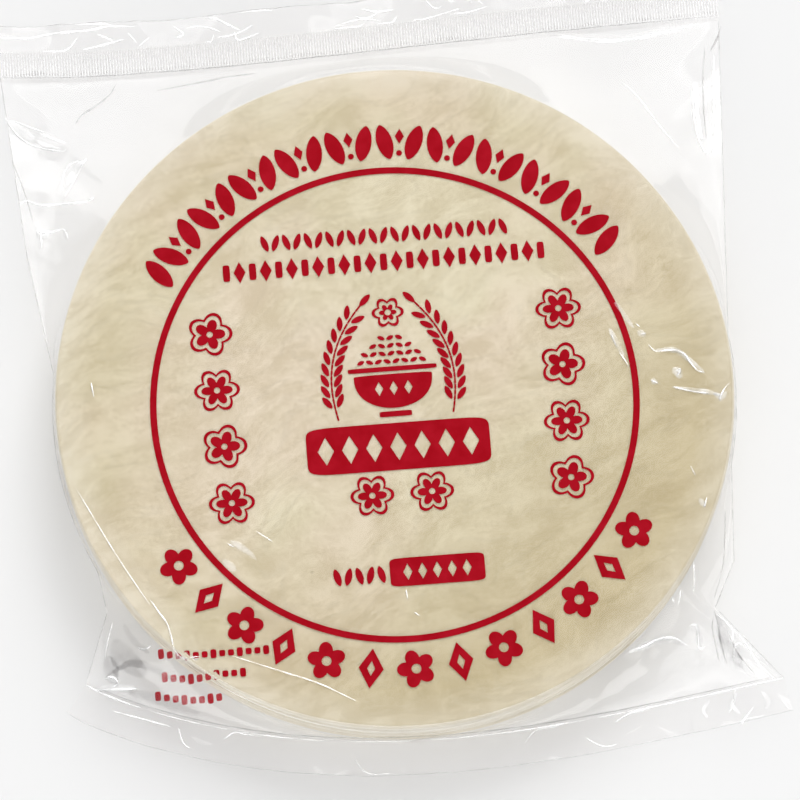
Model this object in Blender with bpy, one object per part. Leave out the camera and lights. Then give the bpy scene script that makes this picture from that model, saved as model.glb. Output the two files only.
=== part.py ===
"""Clear sealed bag, tightly filled by a round stack of rice paper sheets, as one solid.

The pack lies on its back. The table is z = 0 and the stack's middle is the origin. The shown
side faces +Z, the crimped end of the bag lies towards +Y and the welded end towards -Y.
The bag sits a few degrees askew on the round stack, as a hand-filled bag does.
"""
import math

import bmesh
import bpy
from mathutils import Vector

# Stack of sheets with the film over and under it, in metres
SHEET_RADIUS = 0.0900
PACK_THICKNESS = 0.0190
FILM_ROOM = 0.0002
RIM_ROUNDING = 0.0014
RIM_STEPS = 3

# Lay-flat bag seen from above, in metres: the corners of the space between its seams
CRIMP_LEFT = Vector((-0.1075, 0.0918))
CRIMP_RIGHT = Vector((0.0885, 0.1095))
CRIMP_SAG = 0.0033
CRIMP_SKEW = 0.62
FLANK_LEFT = Vector((-0.0990, 0.0405))
NECK_LEFT = Vector((-0.0758, -0.0575))
EAR_LEFT = Vector((-0.0812, -0.0763))
EAR_RIGHT = Vector((0.1026, -0.0744))
NECK_RIGHT = Vector((0.0847, -0.0560))
FLANK_RIGHT = Vector((0.0898, -0.0435))
FOLD_RADIUS = 0.0912
WELD_SAG = 0.0165
WELD_SKEW = 0.8
OUTLINE_STEP = 0.0042

# Seams: two plies of film pressed together, drawn thicker than film so that they are solid
SEAM_THICKNESS = 0.0006
CRIMP_WIDTH = 0.0070
FLANGE_WIDTH = 0.0080
FLANGE_WAVE = 0.0010
FLANGE_WAVE_LENGTH = 0.0480
SKIRT_WIDTH = 0.0090
BEAD_RADIUS = 0.0005
RIB_PITCH = 0.00156
RIB_HEIGHT = 0.0003
RIB_PLATE_THICKNESS = 0.0012
RIB_PLATE_OVERLAP = 0.0020
RIB_PLATE_MARGIN = 0.0004
BEAD_INSET = 0.0007
BEAD_END_SHARE = 0.004

# Height of the seams: half way up beside the stack, sinking towards the corners
CORNER_DROOP = 0.0040
DROOP_REACH = 0.0400
WEB_STATIONS = (0.34, 0.67)
PLEAT_COUNT = 22
PLEAT_HEIGHT = 0.0012
PLEAT_FULL_LENGTH = 0.0500


def clear_scene():
    for item in list(bpy.data.objects):
        bpy.data.objects.remove(item, do_unlink=True)


def straight(start, end):
    """Evenly spaced points from start towards end, without end itself."""
    count = max(1, round((end - start).length / OUTLINE_STEP))
    return [start.lerp(end, k / count) for k in range(count)]


def around_stack(points):
    """A side fold can't cut through the sheets, so it bends round their edge."""
    return [p.normalized() * max(p.length, FOLD_RADIUS) for p in points]


def weld_point(share):
    """Weld line from the left ear (0) to the right ear (1), pulled down by the stack."""
    sag = WELD_SAG * math.sin(math.pi * share ** WELD_SKEW)
    return EAR_LEFT.lerp(EAR_RIGHT, share) - Vector((0.0, sag))


def weld_outward(share):
    """Unit vector across the weld line, away from the stack."""
    reach = 0.02
    before = weld_point(max(share - reach, 0.0))
    along = (weld_point(min(share + reach, 1.0)) - before).normalized()
    return Vector((along.y, -along.x))


def weld_share(point):
    span = EAR_RIGHT.x - EAR_LEFT.x
    return min(max((point.x - EAR_LEFT.x) / span, 0.0), 1.0)


def crimp_outward():
    """Unit vector across the crimped seam, away from the stack."""
    along = (CRIMP_LEFT - CRIMP_RIGHT).normalized()
    return Vector((along.y, -along.x))


def crimp_point(share):
    """Inner edge of the crimp from its right end (0) to its left end (1), sagging on the left."""
    from_left = max(1.0 - share, 0.0)
    sag = CRIMP_SAG * max(math.sin(math.pi * from_left ** CRIMP_SKEW), 0.0) ** 1.5
    return CRIMP_RIGHT.lerp(CRIMP_LEFT, share) - crimp_outward() * sag


def seam_height(point):
    """Height of the seam's middle plane at a point of the outline."""
    share = min(max((point.length - SHEET_RADIUS) / DROOP_REACH, 0.0), 1.0)
    return PACK_THICKNESS / 2 - CORNER_DROOP * share


def bag_outline():
    """Closed outline between the seams, and which points lie on the crimp and the weld."""
    right = straight(NECK_RIGHT, FLANK_RIGHT) + straight(FLANK_RIGHT, CRIMP_RIGHT)
    left = straight(CRIMP_LEFT, FLANK_LEFT) + straight(FLANK_LEFT, NECK_LEFT)
    crimp_count = round((CRIMP_RIGHT - CRIMP_LEFT).length / OUTLINE_STEP)
    crimp = [crimp_point(k / crimp_count) for k in range(crimp_count)]
    weld_count = round((EAR_RIGHT - EAR_LEFT).length / OUTLINE_STEP)
    weld = [weld_point(k / weld_count) for k in range(weld_count)]
    points = around_stack(right)
    crimp_start = len(points)
    points += crimp
    crimp_end = len(points)
    points += around_stack(left)
    points += straight(NECK_LEFT, EAR_LEFT)
    weld_start = len(points)
    points += weld
    weld_end = len(points)
    points += straight(EAR_RIGHT, NECK_RIGHT)
    return points, (crimp_start, crimp_end), (weld_start, weld_end)


def film_section(point, side):
    """Film from the flat face to the seam, on the ray through an outline point.

    side is 1 for the shown face and -1 for the underside. The rim rounding turns only as
    far as the film's own slope, so that the film leaves the stack without a step.
    """
    outward = point.normalized()
    face = PACK_THICKNESS if side > 0 else 0.0
    arc_centre = SHEET_RADIUS + FILM_ROOM - RIM_ROUNDING
    seam_z = seam_height(point) + side * SEAM_THICKNESS / 2
    slope = math.atan2(abs(face - seam_z), point.length - arc_centre)
    section = []
    for step in range(RIM_STEPS + 1):
        turn = slope * step / RIM_STEPS
        reach = arc_centre + RIM_ROUNDING * math.sin(turn)
        height = face - side * RIM_ROUNDING * (1.0 - math.cos(turn))
        section.append((reach, height))
    rim_reach, rim_height = section[-1]
    web_length = point.length - rim_reach
    pleat = PLEAT_HEIGHT * web_length / PLEAT_FULL_LENGTH
    pleat *= math.sin(PLEAT_COUNT * math.atan2(outward.y, outward.x))
    for share in WEB_STATIONS:
        reach = rim_reach + share * web_length
        height = rim_height + share * (seam_z - rim_height)
        height += pleat * math.sin(math.pi * share)
        section.append((reach, height))
    section.append((point.length, seam_z))
    return [Vector((outward.x * r, outward.y * r, z)) for r, z in section]


def grow_ring(bm, ring, places):
    """Extrude a closed ring of vertices and set the new ring's vertices in their places."""
    edges = [bm.edges.get((ring[k - 1], ring[k])) for k in range(len(ring))]
    made = bmesh.ops.extrude_edge_only(bm, edges=edges)["geom"]
    fresh = {item for item in made if isinstance(item, bmesh.types.BMVert)}
    grown = []
    for vert, place in zip(ring, places):
        neighbours = [edge.other_vert(vert) for edge in vert.link_edges]
        twin = next(item for item in neighbours if item in fresh)
        twin.co = place
        grown.append(twin)
    return grown


def pull_seam(bm, faces, offset_at):
    """Extrude a run of the bag's thin edge outwards and return its new outer faces."""
    made = bmesh.ops.extrude_face_region(bm, geom=faces)["geom"]
    bmesh.ops.delete(bm, geom=faces, context="FACES_ONLY")
    for item in made:
        if isinstance(item, bmesh.types.BMVert):
            item.co += offset_at(item.co)
    return [item for item in made if isinstance(item, bmesh.types.BMFace)]


def crimp_offset(place):
    across = crimp_outward() * CRIMP_WIDTH
    return Vector((across.x, across.y, 0.0))


def flange_offset(place):
    """The loose strip beyond the crimp waves gently up and down."""
    across = crimp_outward() * FLANGE_WIDTH
    wave = math.sin(2 * math.pi * place.x / FLANGE_WAVE_LENGTH)
    return Vector((across.x, across.y, FLANGE_WAVE * wave))


def skirt_offset(place):
    """The loose strip beyond the weld follows the weld line."""
    across = weld_outward(weld_share(place)) * SKIRT_WIDTH
    return Vector((across.x, across.y, 0.0))


def bag_body():
    """Film round the stack, with the crimped and the welded end drawn out as flat strips."""
    points, crimp_run, weld_run = bag_outline()
    upper = [film_section(p, 1) for p in points]
    lower = [film_section(p, -1) for p in points]
    bm = bmesh.new()
    made = bmesh.ops.create_circle(bm, cap_ends=True, segments=len(points), radius=1.0)
    ring = sorted(made["verts"], key=lambda vert: math.atan2(vert.co.y, vert.co.x))
    start = math.atan2(points[0].y, points[0].x)
    first = round((start + math.pi) / (2 * math.pi) * len(ring)) % len(ring)
    ring = ring[first:] + ring[:first]
    bmesh.ops.reverse_faces(bm, faces=bm.faces[:])
    for vert, section in zip(ring, lower):
        vert.co = section[0]
    stations = len(lower[0])
    for level in range(1, stations):
        ring = grow_ring(bm, ring, [section[level] for section in lower])
    lower_seam = ring
    ring = grow_ring(bm, ring, [section[-1] for section in upper])
    upper_seam = ring
    for level in range(stations - 2, -1, -1):
        ring = grow_ring(bm, ring, [section[level] for section in upper])
    bmesh.ops.contextual_create(bm, geom=ring)

    def edge_faces(run):
        faces = []
        for k in range(*run):
            after = (k + 1) % len(points)
            corners = {lower_seam[k], lower_seam[after], upper_seam[k], upper_seam[after]}
            faces += [f for f in lower_seam[k].link_faces if set(f.verts) == corners]
        return faces

    crimp_faces = edge_faces(crimp_run)
    weld_faces = edge_faces(weld_run)
    crimp_faces = pull_seam(bm, crimp_faces, crimp_offset)
    pull_seam(bm, crimp_faces, flange_offset)
    pull_seam(bm, weld_faces, skirt_offset)
    bmesh.ops.recalc_face_normals(bm, faces=bm.faces[:])
    return finish_object("sealed_bag", bm)


def rib_plate():
    """Corrugated plate that gives the crimp its row of ribs across the seam."""
    length = (CRIMP_LEFT - CRIMP_RIGHT).length
    first = RIB_PLATE_MARGIN / length
    last = 1.0 - first
    ribs = round(length / RIB_PITCH)
    across = crimp_outward()
    rows = (-RIB_PLATE_OVERLAP, CRIMP_WIDTH - RIB_PLATE_MARGIN)
    bm = bmesh.new()
    bmesh.ops.create_grid(bm, x_segments=2 * ribs, y_segments=1, size=0.5)
    for vert in bm.verts:
        share = vert.co.x + 0.5
        step = round(share * 2 * ribs)
        foot = crimp_point(first + (last - first) * share)
        plan = foot + across * rows[1 if vert.co.y > 0 else 0]
        rise = RIB_HEIGHT / 2 if step % 2 else -RIB_HEIGHT / 2
        vert.co = (plan.x, plan.y, seam_height(foot) + rise - RIB_PLATE_THICKNESS / 2)
    made = bmesh.ops.extrude_face_region(bm, geom=bm.faces[:])["geom"]
    lifted = [item for item in made if isinstance(item, bmesh.types.BMVert)]
    bmesh.ops.translate(bm, verts=lifted, vec=(0.0, 0.0, RIB_PLATE_THICKNESS))
    bmesh.ops.recalc_face_normals(bm, faces=bm.faces[:])
    return finish_object("rib_plate", bm)


def weld_bead():
    """Slim melted bead along the weld line, just outside the filled space."""
    count = round((EAR_RIGHT - EAR_LEFT).length / OUTLINE_STEP)
    line = bpy.data.curves.new("weld_bead", "CURVE")
    line.dimensions = "3D"
    line.bevel_depth = BEAD_RADIUS
    line.bevel_resolution = 1
    line.use_fill_caps = True
    spline = line.splines.new("POLY")
    spline.points.add(count)
    for k, point in enumerate(spline.points):
        share = BEAD_END_SHARE + (1.0 - 2 * BEAD_END_SHARE) * k / count
        plan = weld_point(share) + weld_outward(share) * BEAD_INSET
        point.co = (plan.x, plan.y, seam_height(weld_point(share)), 1.0)
    guide = bpy.data.objects.new("weld_line", line)
    bpy.context.collection.objects.link(guide)
    mesh = bpy.data.meshes.new_from_object(guide)
    bpy.data.objects.remove(guide, do_unlink=True)
    bead = bpy.data.objects.new("weld_bead", mesh)
    bpy.context.collection.objects.link(bead)
    return bead


def finish_object(name, bm):
    mesh = bpy.data.meshes.new(name)
    bm.to_mesh(mesh)
    bm.free()
    item = bpy.data.objects.new(name, mesh)
    bpy.context.collection.objects.link(item)
    return item


def add_to(body, extra):
    """Join a helper solid to the body with a Boolean union."""
    extra.hide_render = True
    extra.display_type = "WIRE"
    union = body.modifiers.new("join_" + extra.name, "BOOLEAN")
    union.operation = "UNION"
    union.object = extra


def film_material():
    material = bpy.data.materials.new("film_over_rice_paper")
    material.use_nodes = True
    shader = material.node_tree.nodes["Principled BSDF"]
    shader.inputs["Base Color"].default_value = (0.66, 0.62, 0.47, 1.0)
    shader.inputs["Roughness"].default_value = 0.25
    shader.inputs["Metallic"].default_value = 0.0
    return material


def main():
    clear_scene()
    bag = bag_body()
    add_to(bag, rib_plate())
    add_to(bag, weld_bead())
    bag.data.materials.append(film_material())
    bag.data.shade_smooth()
    bag.data.set_sharp_from_angle(angle=math.radians(30))


main()
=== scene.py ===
import functools
import math
import random

import bmesh
import bpy
import numpy as np
from mathutils import Matrix, Vector, noise


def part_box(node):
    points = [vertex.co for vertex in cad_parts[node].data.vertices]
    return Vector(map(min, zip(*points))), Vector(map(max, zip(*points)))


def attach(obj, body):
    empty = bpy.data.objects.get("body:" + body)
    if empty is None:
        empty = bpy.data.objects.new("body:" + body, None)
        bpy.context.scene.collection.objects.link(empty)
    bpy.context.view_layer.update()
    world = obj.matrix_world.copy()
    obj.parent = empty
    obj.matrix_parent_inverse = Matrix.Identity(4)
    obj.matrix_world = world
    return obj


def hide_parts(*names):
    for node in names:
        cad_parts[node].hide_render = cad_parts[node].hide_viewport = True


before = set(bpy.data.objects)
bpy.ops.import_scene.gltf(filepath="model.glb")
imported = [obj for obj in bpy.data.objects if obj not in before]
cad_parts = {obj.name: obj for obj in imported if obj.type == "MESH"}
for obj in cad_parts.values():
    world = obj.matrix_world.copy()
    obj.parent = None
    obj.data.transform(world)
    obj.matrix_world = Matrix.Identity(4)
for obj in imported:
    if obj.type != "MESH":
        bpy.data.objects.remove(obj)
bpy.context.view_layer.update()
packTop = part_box("sealed_bag")[1][2]
body = "root"
mm = 0.001
print("frame loaded, pack", round(packTop / mm, 1), "mm thick")


# small helpers

def smooth(low, high, value):
    share = np.clip((value - low) / (high - low), 0.0, 1.0)
    return share * share * (3.0 - 2.0 * share)


def finishPiece(name, bm, materials, smoothAngle=40.0):
    # the piece sits at the origin, its place is in its mesh
    mesh = bpy.data.meshes.new(name)
    bm.to_mesh(mesh)
    bm.free()
    for material in materials:
        mesh.materials.append(material)
    piece = bpy.data.objects.new(name, mesh)
    bpy.context.scene.collection.objects.link(piece)
    mesh.shade_smooth()
    mesh.set_sharp_from_angle(angle=math.radians(smoothAngle))
    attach(piece, body)
    print(name, len(mesh.polygons), "faces")
    return piece


def thicken(bm, faces, thickness):
    # gives the faces a second side, lifted by the thickness
    made = bmesh.ops.extrude_face_region(bm, geom=faces)["geom"]
    lifted = [item for item in made if isinstance(item, bmesh.types.BMVert)]
    bmesh.ops.translate(bm, verts=lifted, vec=(0.0, 0.0, thickness))


# bag plan: the same corners as the solid, seen from above

bagPlan = {
    "sheetRadius": 90.0 * mm,
    "rimRounding": 1.4 * mm,
    "filmRoom": 0.2 * mm,
    "foldRadius": 91.2 * mm,
    "crimpLeft": Vector((-107.5, 91.8)) * mm,
    "crimpRight": Vector((88.5, 109.5)) * mm,
    "crimpSag": 3.3 * mm,
    "crimpSkew": 0.62,
    "flankLeft": Vector((-99.0, 40.5)) * mm,
    "neckLeft": Vector((-75.8, -57.5)) * mm,
    "earLeft": Vector((-81.2, -76.3)) * mm,
    "earRight": Vector((102.6, -74.4)) * mm,
    "neckRight": Vector((84.7, -56.0)) * mm,
    "flankRight": Vector((89.8, -43.5)) * mm,
    "weldSag": 16.5 * mm,
    "weldSkew": 0.8,
    "cornerDroop": 4.0 * mm,
    "droopReach": 40.0 * mm,
    "outlineStep": 1.5 * mm,
}


def weldPoint(share):
    sag = bagPlan["weldSag"] * math.sin(math.pi * share ** bagPlan["weldSkew"])
    return bagPlan["earLeft"].lerp(bagPlan["earRight"], share) - Vector((0.0, sag))


def weldOutward(share):
    before = weldPoint(max(share - 0.02, 0.0))
    along = (weldPoint(min(share + 0.02, 1.0)) - before).normalized()
    return Vector((along.y, -along.x))


def crimpOutward():
    along = (bagPlan["crimpLeft"] - bagPlan["crimpRight"]).normalized()
    return Vector((along.y, -along.x))


def crimpPoint(share):
    # from the right end to the left end, bowed in towards the stack
    fromLeft = max(1.0 - share, 0.0)
    bow = max(math.sin(math.pi * fromLeft ** bagPlan["crimpSkew"]), 0.0) ** 1.5
    straightPoint = bagPlan["crimpRight"].lerp(bagPlan["crimpLeft"], share)
    return straightPoint - crimpOutward() * bagPlan["crimpSag"] * bow


def seamHeight(reach):
    # seams lie half way up beside the stack and sink towards the corners
    share = np.clip((reach - bagPlan["sheetRadius"]) / bagPlan["droopReach"], 0.0, 1.0)
    return packTop / 2 - bagPlan["cornerDroop"] * share


def bagRuns(step):
    # the outline in runs, anticlockwise from the right neck
    plan = bagPlan

    def straight(start, end, hugging=False):
        count = max(1, round((end - start).length / step))
        points = [start.lerp(end, k / count) for k in range(count)]
        if hugging:
            points = [p.normalized() * max(p.length, plan["foldRadius"]) for p in points]
        return points

    weldCount = round((plan["earRight"] - plan["earLeft"]).length / step)
    crimpCount = round((plan["crimpRight"] - plan["crimpLeft"]).length / step)
    return {
        "rightFold": (straight(plan["neckRight"], plan["flankRight"], True)
                      + straight(plan["flankRight"], plan["crimpRight"], True)),
        "crimp": [crimpPoint(k / crimpCount) for k in range(crimpCount)],
        "leftFold": (straight(plan["crimpLeft"], plan["flankLeft"], True)
                     + straight(plan["flankLeft"], plan["neckLeft"], True)),
        "leftNeck": straight(plan["neckLeft"], plan["earLeft"]),
        "weld": [weldPoint(k / weldCount) for k in range(weldCount)],
        "rightNeck": straight(plan["earRight"], plan["neckRight"]),
    }


runs = bagRuns(bagPlan["outlineStep"])
outline = [point for run in runs.values() for point in run]
outlineAngles = np.array([math.atan2(p.y, p.x) for p in outline])
outlineReaches = np.array([p.length for p in outline])
angleOrder = np.argsort(outlineAngles)
outlineAngles = outlineAngles[angleOrder]
outlineReaches = outlineReaches[angleOrder]


def outlineReach(x, y):
    return float(np.interp(math.atan2(y, x), outlineAngles, outlineReaches, period=2 * math.pi))


# slack film between the stack's edge and the seams

looseFilm = {
    "pleatCount": 17,
    "pleatHeight": 0.30 * mm,
    "fullLength": 50.0 * mm,
    "crumpleSize": 17.0 * mm,
    "crumpleHeight": 0.45 * mm,
    "fineSize": 6.0 * mm,
    "fineHeight": 0.08 * mm,
    "crumpleMean": 0.35,
    "swayRate": 3.0,
    "sway": 5.0,
    "cornerGain": 2.2,
    "cornerStart": -45.0 * mm,
    "cornerFull": -70.0 * mm,
}


def crumple(x, y, size, seed):
    # sharp valleys and rounded hills, as in stiff clear film
    return 1.0 - 2.0 * abs(noise.noise(Vector((x / size, y / size, seed)))) ** 0.7


def looseRelief(x, y, share, length, seed):
    loose = looseFilm
    freedom = min(length / loose["fullLength"], 1.0) * math.sin(math.pi * share)
    corner = float(smooth(loose["cornerStart"], loose["cornerFull"], y))
    freedom *= 1.0 + loose["cornerGain"] * corner
    angle = math.atan2(y, x)
    rate, mean = loose["swayRate"], loose["crumpleMean"]
    sway = noise.noise(Vector((rate * math.cos(angle), rate * math.sin(angle), seed)))
    relief = loose["pleatHeight"] * math.sin(loose["pleatCount"] * angle + loose["sway"] * sway)
    relief += loose["crumpleHeight"] * (crumple(x, y, loose["crumpleSize"], seed) - mean)
    relief += loose["fineHeight"] * (crumple(x, y, loose["fineSize"], seed + 7.0) - mean)
    return relief * freedom


skin = {
    "clearance": 0.05 * mm,
    "seamThickness": 0.06 * mm,
    "faceRings": [20.0, 45.0, 65.0, 80.0],
    "rimSteps": 5,
    "webStepsTop": 24,
    "webStepsUnder": 10,
    "hollow": 1.9,
    "upperSeed": 12.0,
    "lowerSeed": 10.0,
}
faceHeight = packTop - skin["clearance"]


def filmSection(point, side, webSteps):
    # reach and height along one ray, from the flat face to the seam
    outward = point.normalized()
    face = faceHeight if side > 0 else skin["clearance"]
    rounding = bagPlan["rimRounding"]
    arcCentre = bagPlan["sheetRadius"] + bagPlan["filmRoom"] - rounding
    seam = float(seamHeight(point.length)) + side * skin["seamThickness"] / 2
    slope = math.atan2(skin["hollow"] * abs(face - seam), point.length - arcCentre)
    seed = skin["upperSeed"] if side > 0 else skin["lowerSeed"]
    section = []
    for step in range(skin["rimSteps"] + 1):
        turn = slope * step / skin["rimSteps"]
        section.append((arcCentre + rounding * math.sin(turn),
                        face - side * rounding * (1.0 - math.cos(turn))))
    rimReach, rimHeight = section[-1]
    length = point.length - rimReach
    for step in range(1, webSteps + 1):
        share = step / webSteps
        reach = rimReach + share * length
        height = seam + (rimHeight - seam) * (1.0 - share) ** skin["hollow"]
        height += looseRelief(outward.x * reach, outward.y * reach, share, length, seed)
        section.append((reach, height))
    return [Vector((outward.x * r, outward.y * r, z)) for r, z in section]


def growRing(bm, ring, places):
    edges = [bm.edges.get((ring[k - 1], ring[k])) for k in range(len(ring))]
    made = bmesh.ops.extrude_edge_only(bm, edges=edges)["geom"]
    fresh = {item for item in made if isinstance(item, bmesh.types.BMVert)}
    grown = []
    for vert, place in zip(ring, places):
        twin = next(v for v in (e.other_vert(vert) for e in vert.link_edges) if v in fresh)
        twin.co = place
        grown.append(twin)
    return grown


def makeFilmBag(material):
    upper = [filmSection(p, 1, skin["webStepsTop"]) for p in outline]
    lower = [filmSection(p, -1, skin["webStepsUnder"]) for p in outline]
    count = len(outline)
    bm = bmesh.new()
    made = bmesh.ops.create_circle(bm, cap_ends=True, segments=count, radius=1.0)
    ring = sorted(made["verts"], key=lambda v: math.atan2(v.co.y, v.co.x))
    start = math.atan2(outline[0].y, outline[0].x)
    first = round((start + math.pi) / (2 * math.pi) * count) % count
    ring = ring[first:] + ring[:first]
    for vert, section in zip(ring, lower):
        vert.co = section[0]
    for level in range(1, len(lower[0])):
        ring = growRing(bm, ring, [section[level] for section in lower])
    for level in range(len(upper[0]) - 1, -1, -1):
        ring = growRing(bm, ring, [section[level] for section in upper])
    for reach in reversed(skin["faceRings"]):
        flat = [point.normalized() * reach * mm for point in outline]
        ring = growRing(bm, ring, [(p.x, p.y, faceHeight) for p in flat])
    bmesh.ops.contextual_create(bm, geom=ring)
    bmesh.ops.recalc_face_normals(bm, faces=bm.faces[:])
    return finishPiece("filmBag", bm, [material], 60.0)


def filmHeight(x, y):
    # height of the shown side of the film, for the print and the creases on it
    reach = math.hypot(x, y)
    limit = outlineReach(x, y)
    rim = bagPlan["sheetRadius"] + bagPlan["filmRoom"] - bagPlan["rimRounding"]
    height = faceHeight
    if reach > rim:
        share = min((reach - rim) / (limit - rim), 1.0)
        seam = float(seamHeight(limit))
        height = seam + (faceHeight - seam) * (1.0 - share) ** skin["hollow"]
        height += looseRelief(x, y, share, limit - rim, skin["upperSeed"])
    return height


# sealed ends

crimpSeal = {
    "width": 7.0 * mm,
    "flange": 8.0 * mm,
    "ribPitch": 0.78 * mm,
    "ribHeight": 0.12 * mm,
    "stepsPerRib": 4,
    "thickness": 0.08 * mm,
    "wave": 1.0 * mm,
    "waveLength": 47.0 * mm,
    "crumple": 0.7 * mm,
    "crumpleSize": 13.0 * mm,
    "sway": 0.45 * mm,
    "swaySize": (9.0 * mm, 20.0 * mm),
    "rows": [-1.5, 0.0, 1.7, 3.5, 5.3, 7.0, 7.6, 9.0, 10.5, 12.0, 13.5, 15.0],
}
ribCount = round((bagPlan["crimpLeft"] - bagPlan["crimpRight"]).length / crimpSeal["ribPitch"])


def crimpSurface(share, row):
    # underside of the sealed band and of the loose flange beyond it
    plan = crimpSeal
    foot = crimpPoint(share)
    place = foot + crimpOutward() * row
    free = float(smooth(plan["width"], plan["width"] + plan["flange"], row))
    height = float(seamHeight(foot.length))
    height += free * plan["wave"] * math.sin(2 * math.pi * place.x / plan["waveLength"])
    height += free * plan["crumple"] * (crumple(place.x, place.y, plan["crumpleSize"], 3.0) - 0.4)
    sizeAlong, sizeAcross = plan["swaySize"]
    height += plan["sway"] * noise.noise(Vector((place.x / sizeAlong, row / sizeAcross, 5.0)))
    return Vector((place.x, place.y, height))


def makeCrimpSeal(material, ribbedMaterial):
    plan = crimpSeal
    rows = [r * mm for r in plan["rows"]]
    bm = bmesh.new()
    bmesh.ops.create_grid(bm, x_segments=ribCount * plan["stepsPerRib"],
                          y_segments=len(rows) - 1, size=0.5)
    for face in bm.faces:
        middle = (face.calc_center_median().y + 0.5) * (len(rows) - 1)
        low, high = rows[math.floor(middle)], rows[math.ceil(middle)]
        face.material_index = 1 if low >= 0.0 and high <= plan["width"] else 0
    band = bm.verts.layers.float.new("band")
    for vert in bm.verts:
        share = vert.co.x + 0.5
        row = rows[round((vert.co.y + 0.5) * (len(rows) - 1))]
        vert[band] = float(smooth(plan["width"], 0.3 * plan["width"], row))
        inBand = 1.0 if 0.0 <= row <= plan["width"] + 0.1 * mm else 0.2
        vert.co = crimpSurface(share, row)
        vert.co.z += inBand * plan["ribHeight"] / 2 * math.sin(2 * math.pi * share * ribCount)
    thicken(bm, bm.faces[:], plan["thickness"])
    bmesh.ops.recalc_face_normals(bm, faces=bm.faces[:])
    return finishPiece("crimpSeal", bm, [material, ribbedMaterial])


weldSkirt = {
    "inside": 1.0 * mm,
    "width": 9.0 * mm,
    "columns": 300,
    "rows": 14,
    "thickness": 0.08 * mm,
    "ruffle": 0.405 * mm,
    "ruffleLength": 31.0 * mm,
    "fineRuffle": 3.1 * mm,
    "crumple": 0.8 * mm,
    "crumpleSize": 11.0 * mm,
}


def skirtSurface(share, reach):
    # underside of the free strip below the weld, reach measured outward from the weld
    plan = weldSkirt
    foot = weldPoint(share)
    place = foot + weldOutward(share) * reach
    free = (reach + plan["inside"]) / (plan["width"] + plan["inside"])
    height = float(seamHeight(foot.length)) - plan["thickness"] / 2
    ruffle = math.sin(2 * math.pi * place.x / plan["ruffleLength"])
    ruffle += 0.6 * math.sin(place.x / plan["fineRuffle"])
    height += free * plan["ruffle"] * ruffle
    height += free * plan["crumple"] * (crumple(place.x, place.y, plan["crumpleSize"], 23.0) - 0.4)
    return Vector((place.x, place.y, height))


def makeWeldSkirt(material):
    plan = weldSkirt
    span = plan["width"] + plan["inside"]
    bm = bmesh.new()
    bmesh.ops.create_grid(bm, x_segments=plan["columns"], y_segments=plan["rows"], size=0.5)
    for vert in bm.verts:
        vert.co = skirtSurface(vert.co.x + 0.5, (0.5 - vert.co.y) * span - plan["inside"])
    thicken(bm, bm.faces[:], plan["thickness"])
    bmesh.ops.recalc_face_normals(bm, faces=bm.faces[:])
    return finishPiece("weldSkirt", bm, [material])


# creases: sharp folds of the film, each a slim tapered roll whose white is a painted highlight,
# with a real mirror share that catches the light;
# a stroke has its radius as a share of the bevel, and the points that it runs through in mm

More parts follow.
